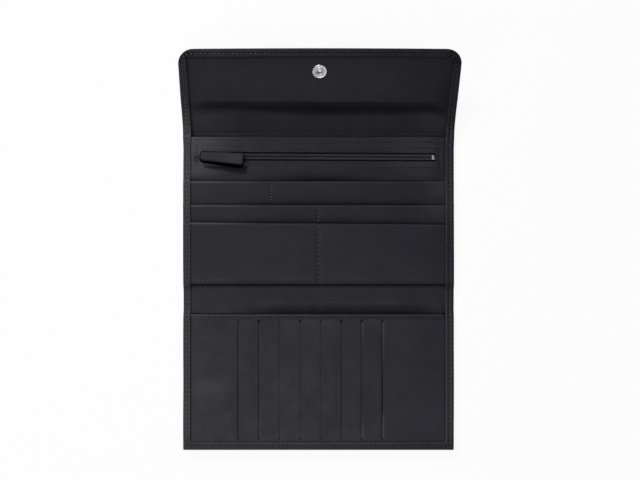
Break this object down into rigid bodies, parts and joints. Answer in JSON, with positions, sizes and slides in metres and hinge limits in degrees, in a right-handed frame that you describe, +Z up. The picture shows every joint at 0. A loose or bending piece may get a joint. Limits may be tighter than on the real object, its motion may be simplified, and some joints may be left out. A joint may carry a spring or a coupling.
{
  "type": "travel document organizer",
  "caption": "Open trifold leather travel wallet: zip pocket, open pockets and a front panel of card slits, folding shut at leather creases and closing with a snap flap.",
  "frame": {"origin": "middle of the back panel's outer face, which lies on the table", "axes": "X across the wallet to the right as seen in the open pose, +Y towards the snap flap, +Z up out of the open wallet"},
  "size_m": [0.216, 0.3135, 0.0429],
  "materials": {
    "cover_leather": "fine pebbled grain, semi-matt black",
    "lining_leather": "smooth matt black lining leather",
    "panel_leather": "smooth soft-sheen black leather",
    "binding_leather": "fine grain black leather strip with a stitched line",
    "stiffener_board": "thin flexible board",
    "pocket_fabric": "thin woven black lining",
    "zip_tape": "woven black tape",
    "zip_chain": "black nylon coil",
    "dark_metal": "dark gunmetal",
    "bright_metal": "polished nickel plate"
  },
  "bodies": {
    "back_panel": {"back_cover": "cover_leather", "back_stiffener": "stiffener_board", "back_lining": "lining_leather", "zip_pocket_lining": "pocket_fabric", "zip_panel": "panel_leather", "zip_tape_upper": "zip_tape", "zip_tape_lower": "zip_tape", "zip_chain_upper": "zip_chain", "zip_chain_lower": "zip_chain", "zip_top_stop_upper": "bright_metal", "zip_top_stop_lower": "bright_metal", "zip_bottom_stop": "bright_metal", "pocket_upper": "panel_leather", "pocket_middle": "panel_leather", "pocket_lower": "panel_leather", "back_binding_left": "binding_leather", "back_binding_right": "binding_leather"},
    "zip_slider_body": {"zip_slider": "dark_metal"},
    "zip_pull": {"zip_pull_tab": "panel_leather"},
    "top_spine": {"top_spine_cover": "cover_leather", "top_spine_lining": "lining_leather", "top_spine_binding_left": "binding_leather", "top_spine_binding_right": "binding_leather"},
    "flap": {"flap_cover": "cover_leather", "flap_stiffener": "stiffener_board", "flap_lining": "lining_leather", "flap_binding_left": "binding_leather", "flap_binding_right": "binding_leather", "flap_binding_top": "binding_leather", "snap_cap": "bright_metal", "snap_socket": "bright_metal", "snap_spring": "bright_metal"},
    "bottom_spine": {"bottom_spine_cover": "cover_leather", "bottom_spine_lining": "lining_leather", "bottom_spine_binding_left": "binding_leather", "bottom_spine_binding_right": "binding_leather"},
    "front_panel": {"front_cover": "cover_leather", "front_stiffener": "stiffener_board", "front_lining": "lining_leather", "card_backing": "pocket_fabric", "card_pocket_1": "pocket_fabric", "card_pocket_2": "pocket_fabric", "card_pocket_3": "pocket_fabric", "card_pocket_4": "pocket_fabric", "card_pocket_5": "pocket_fabric", "card_pocket_6": "pocket_fabric", "card_pocket_7": "pocket_fabric", "card_pocket_8": "pocket_fabric", "card_slot_panel": "panel_leather", "front_binding_left": "binding_leather", "front_binding_right": "binding_leather", "front_binding_bottom": "binding_leather", "snap_stud": "bright_metal", "snap_post": "bright_metal"}
  },
  "joints": [
    {"name": "top_spine_fold", "type": "hinge", "parent": "back_panel", "child": "top_spine", "pos_m": [0, 0.0615, 0.001], "axis": [1, 0, 0], "range_deg": [-33.5, 56.5]},
    {"name": "flap_fold", "type": "hinge", "parent": "top_spine", "child": "flap", "pos_m": [0, 0.08318, 0.01535], "axis": [1, 0, 0], "range_deg": [0, 90]},
    {"name": "bottom_spine_fold", "type": "hinge", "parent": "back_panel", "child": "bottom_spine", "pos_m": [0, -0.0615, 0.001], "axis": [-1, 0, 0], "range_deg": [0, 90]},
    {"name": "front_fold", "type": "hinge", "parent": "bottom_spine", "child": "front_panel", "pos_m": [0, -0.0815, 0.001], "axis": [-1, 0, 0], "range_deg": [0, 87.93]},
    {"name": "zip_slide", "type": "slide", "parent": "back_panel", "child": "zip_slider_body", "axis": [1, 0, 0], "range_m": [0, 0.175]},
    {"name": "pull_tab_swing", "type": "hinge", "parent": "zip_slider_body", "child": "zip_pull", "pos_m": [-0.0918, 0.043, 0.009], "axis": [0, -1, 0], "range_deg": [0, 180]}
  ]
}
